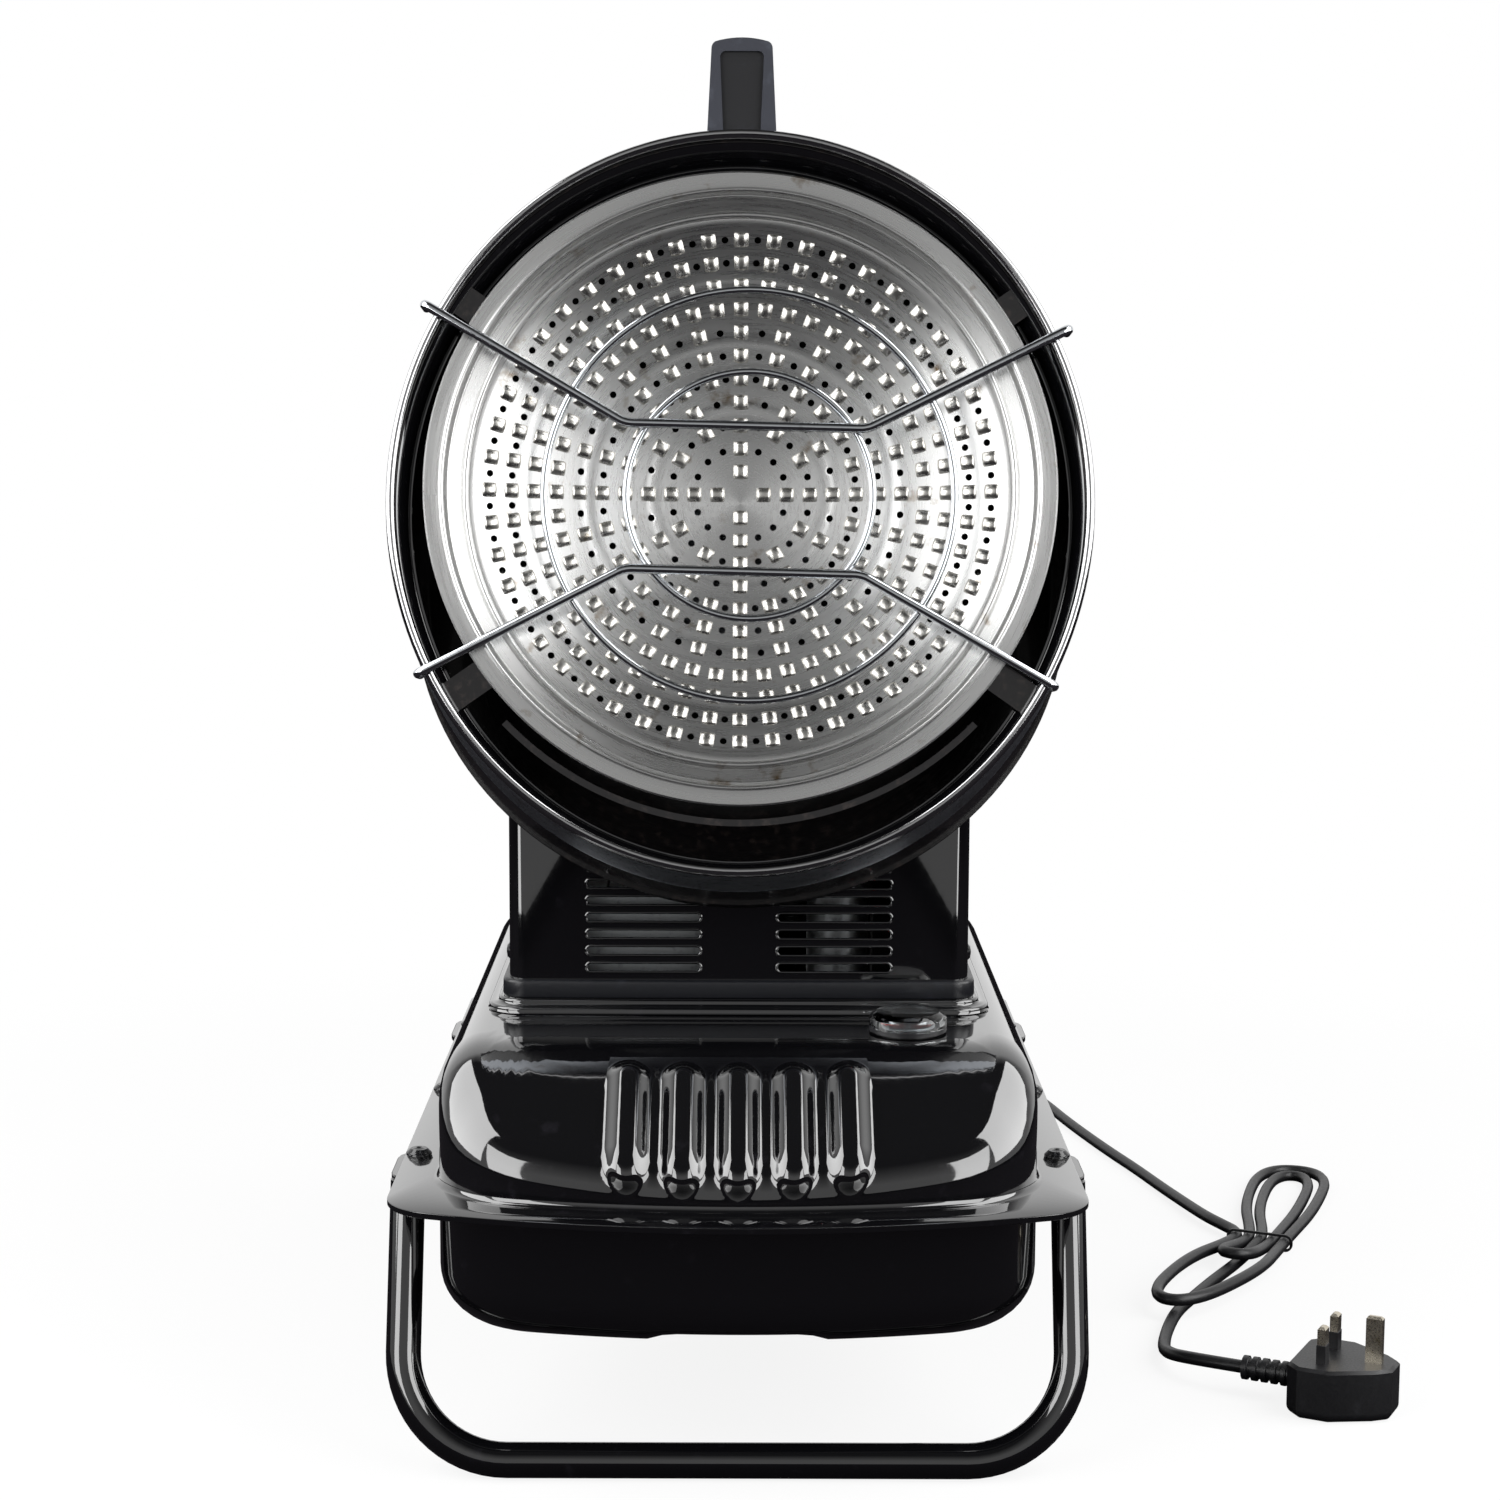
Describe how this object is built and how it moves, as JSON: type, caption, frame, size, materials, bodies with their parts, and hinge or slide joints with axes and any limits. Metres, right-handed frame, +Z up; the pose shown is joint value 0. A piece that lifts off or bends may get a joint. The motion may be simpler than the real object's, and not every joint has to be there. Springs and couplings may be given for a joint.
{
  "type": "diesel heater",
  "caption": "Portable infrared diesel heater: ribbed fuel tank on bent tube legs, louvred housing and a tilted drum with a dimpled emitter plate behind a wire guard.",
  "frame": {"origin": "centre of the box round the object without its cord, on the floor under the legs", "axes": "+X to the right seen from the front, +Y towards the rear panel, +Z up"},
  "size_m": [0.5254, 0.7704, 0.6449],
  "materials": {
    "dark_enamel": "gloss black enamel",
    "drum_black": "gloss black enamel",
    "stainless": "satin",
    "emitter_steel": "rolled sheet",
    "guard_chrome": "bright",
    "black_plastic": "fine grain",
    "cord_rubber": "semi matte",
    "clear_lens": "clear",
    "red_plastic": "gloss",
    "float_foam": "plain",
    "black_screws": "gloss black",
    "brass_parts": "machined",
    "cast_parts": "cast"
  },
  "bodies": {
    "base": {"air_intake_grille": "black_plastic", "air_line": "cast_parts", "air_pump": "cast_parts", "burner_head": "brass_parts", "burner_tube": "stainless", "cable_gland": "cord_rubber", "casing_screws": "black_screws", "combustion_chamber": "drum_black", "control_board": "black_plastic", "cord_loops": "cord_rubber", "cord_run": "cord_rubber", "cord_tail": "cord_rubber", "cord_tie": "cord_rubber", "display_window": "black_plastic", "drain_plug": "black_screws", "drum_liner": "drum_black", "drum_rear_cover": "stainless", "drum_shell": "dark_enamel", "emitter_brackets": "stainless", "emitter_plate": "emitter_steel", "emitter_support_band": "stainless", "fan_motor": "cast_parts", "fan_shroud": "cast_parts", "filler_neck": "cast_parts", "filler_strainer": "float_foam", "flame_diffuser": "stainless", "front_leg": "dark_enamel", "front_ring": "stainless", "fuel_filter": "cast_parts", "fuel_gauge_body": "black_plastic", "fuel_line": "cast_parts", "fuel_pickup": "cast_parts", "gauge_lens": "clear_lens", "handle": "black_plastic", "handle_front_panel": "black_plastic", "housing_tray": "dark_enamel", "ignition_electrodes": "cast_parts", "ignition_transformer": "black_plastic", "indicator_lamp": "clear_lens", "machine_housing": "dark_enamel", "motor_bracket": "cast_parts", "photocell": "cast_parts", "plug_body": "cord_rubber", "plug_pins": "brass_parts", "rear_leg": "dark_enamel", "rear_panel": "dark_enamel", "seam_screws": "black_screws", "switch_bezel": "black_plastic", "tank_lower_pan": "dark_enamel", "tank_upper_shell": "dark_enamel", "thermostat": "black_plastic", "tip_over_switch": "black_plastic", "wire_guard": "guard_chrome"},
    "fan": {"fan_wheel": "black_plastic", "motor_shaft": "cast_parts"},
    "knob": {"thermostat_knob": "black_plastic"},
    "rocker": {"power_rocker": "black_plastic"},
    "cap": {"filler_cap": "black_plastic"},
    "float": {"gauge_float": "float_foam"},
    "pointer": {"gauge_pointer": "red_plastic"}
  },
  "joints": [
    {"name": "fan_spin", "type": "hinge", "parent": "base", "child": "fan", "pos_m": [0, -0.0606, 0.3908], "axis": [0, 0.8949, -0.4462], "continuous": true},
    {"name": "knob_turn", "type": "hinge", "parent": "base", "child": "knob", "pos_m": [0.06, 0.1536, 0.286], "axis": [0, 1, 0], "range_deg": [0, 270]},
    {"name": "rocker_tip", "type": "hinge", "parent": "base", "child": "rocker", "pos_m": [0.06, 0.151, 0.336], "axis": [1, 0, 0], "range_deg": [0, 16]},
    {"name": "cap_turn", "type": "hinge", "parent": "base", "child": "cap", "pos_m": [-0.06, 0.189, 0.2], "axis": [0, 0, 1], "range_deg": [0, 90]},
    {"name": "float_rise", "type": "slide", "parent": "base", "child": "float", "axis": [0, 0, 1], "range_m": [0, 0.09]},
    {"name": "pointer_turn", "type": "hinge", "parent": "base", "child": "pointer", "pos_m": [0.0785, -0.138, 0.195], "axis": [0, 0, 1], "range_deg": [0, 270]}
  ],
  "couplings": [
    {"joint": "pointer_turn", "follows": "float_rise", "rad_per_m": 52}
  ]
}
